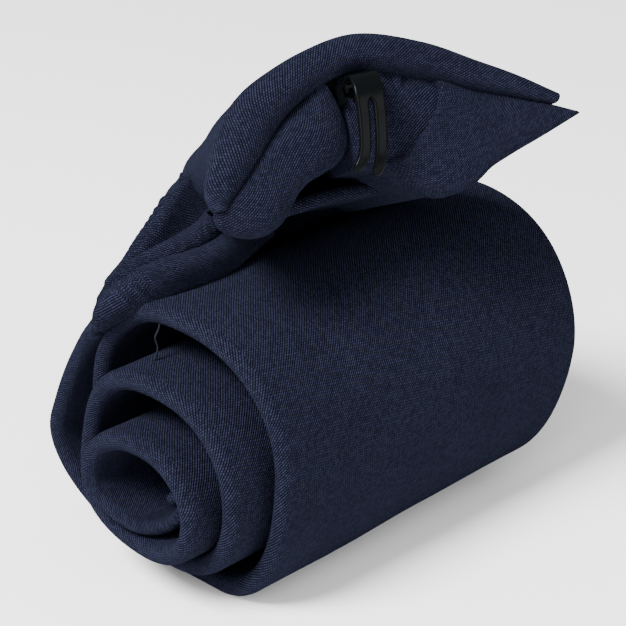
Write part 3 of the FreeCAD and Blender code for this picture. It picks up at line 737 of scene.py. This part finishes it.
blade_weave = woven("blade_weave", angle=45)
wrap_weave = woven("wrap_weave", angle=38)
lobe_weave = woven("lobe_weave", angle=72)
flap_weave = woven("flap_weave", angle=20)
thread = plain("thread", (0.02, 0.025, 0.05), (0.05, 0.06, 0.1),
               roughness=0.6, scale=4000, relief=0.1)
slack_thread = plain("slack_thread", (0.004, 0.005, 0.008), (0.009, 0.011, 0.016),
                     roughness=0.6, scale=4000, relief=0.1, shine=0.05)
satin = plain("satin", (0.012, 0.015, 0.03), (0.02, 0.025, 0.05),
              roughness=0.4, scale=900, relief=0.05)
label_cloth = plain("label_cloth", (0.5, 0.5, 0.48), (0.62, 0.62, 0.6),
                    roughness=0.8, scale=3000, relief=0.08)
enamel = plain("black_enamel", (0.0012, 0.0015, 0.0018), (0.002, 0.0024, 0.0028),
               roughness=0.14, scale=1200, relief=0.01, shine=0.034)
felt = plain("felt", (0.004, 0.0045, 0.008), (0.011, 0.012, 0.019),
             roughness=0.9, scale=1500, relief=0.15, shine=0.0)
moulded = plain("moulded_plastic", (0.002, 0.002, 0.003), (0.005, 0.005, 0.006),
                roughness=0.5, scale=2500, relief=0.05, shine=0.02)
steel = plain("steel", (0.004, 0.004, 0.005), (0.008, 0.008, 0.009),
              roughness=0.35, scale=3000, relief=0.02, metallic=1.0)

rolled_blade = build_rolled_blade()
dress(rolled_blade, blade_weave, "roll", "woven_cloth", "blade_shell", "blade_interlining", fill=0.3)
seam = strip_behind("seam_stitching", start=2.0, end=13.9, near=0.5, far=1.2, thick=0.4, ripple=0.5)
dress(seam, thread, "roll", "thread", "back_seam_stitch", fill=None)
lining = strip_behind("lining_edge", start=0.1, end=1.2, near=-22.0, far=24.0, thick=0.3)
dress(lining, satin, "roll", "lining_cloth", "tip_lining", fill=None)
tack = strip_behind("seam_end_bar", start=1.5, end=1.62, near=-4.0, far=4.0, thick=0.8)
dress(tack, thread, "roll", "thread", "bar_tack", fill=None)
label = strip_behind("sewn_label", start=9.1, end=9.75, near=-15.0, far=15.0, thick=0.4)
dress(label, label_cloth, "roll", "label_cloth", "care_label", fill=None)

neck = build_neck()
dress(neck, blade_weave, None, "woven_cloth", "neck_shell", "neck_interlining", fill=0.3)
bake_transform(neck)

dress(build_front_wrap(), wrap_weave, "knot", "woven_cloth", "knot_front_wrap", fill=0.6)
lobe = mouth_piece("knot_left_lobe", LOBE_TOP, LOBE_UNDER, lobe_mouth, bulge=4.2, reach=30)
dress(lobe, lobe_weave, "knot", "woven_cloth", "knot_left_shoulder", fill=0.7)
flap = mouth_piece("knot_right_cloth", FLAP_TOP, FLAP_UNDER, flap_mouth,
                   bulge=4.5, reach=30, squareness=0.6, bow=3.6)
dress(flap, flap_weave, "knot", "woven_cloth", "knot_right_flap", fill=0.5)
inner = mouth_piece("knot_inner_cloth", INNER_TOP, INNER_UNDER, inner_mouth,
                    bulge=4.0, reach=28, squareness=0.6, dents=dart)
dress(inner, wrap_weave, "knot", "woven_cloth", "knot_inner_fold", fill=0.5)
dress(build_slack_stitch(), slack_thread, "roll", "thread", fill=None)
dress(build_back_wrap(), blade_weave, "knot", "woven_cloth", "knot_back_wrap", fill=0.3)

for prong in build_fork():
    dress(prong, enamel, "fork", "clip_black", "clip_fork", fill=None)

CAD_FINISHES = {
    "knot_tacks": thread, "knot_padding": felt, "knot_former": moulded,
    "clip_plate": enamel, "clip_spring": steel, "clip_pin": steel, "clip_rivets": steel,
}
for node_name, finish in CAD_FINISHES.items():
    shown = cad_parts[node_name]
    shown.data.materials.clear()
    shown.data.materials.append(finish)

build_studio()
build_camera()
area_light("key", (-0.6, 0.05, 0.78), size=0.4, watts=32)
area_light("front", (0.25, -0.9, 0.45), size=0.6, watts=5)
area_light("side", (-0.75, -0.45, 0.6), size=0.5, watts=5)
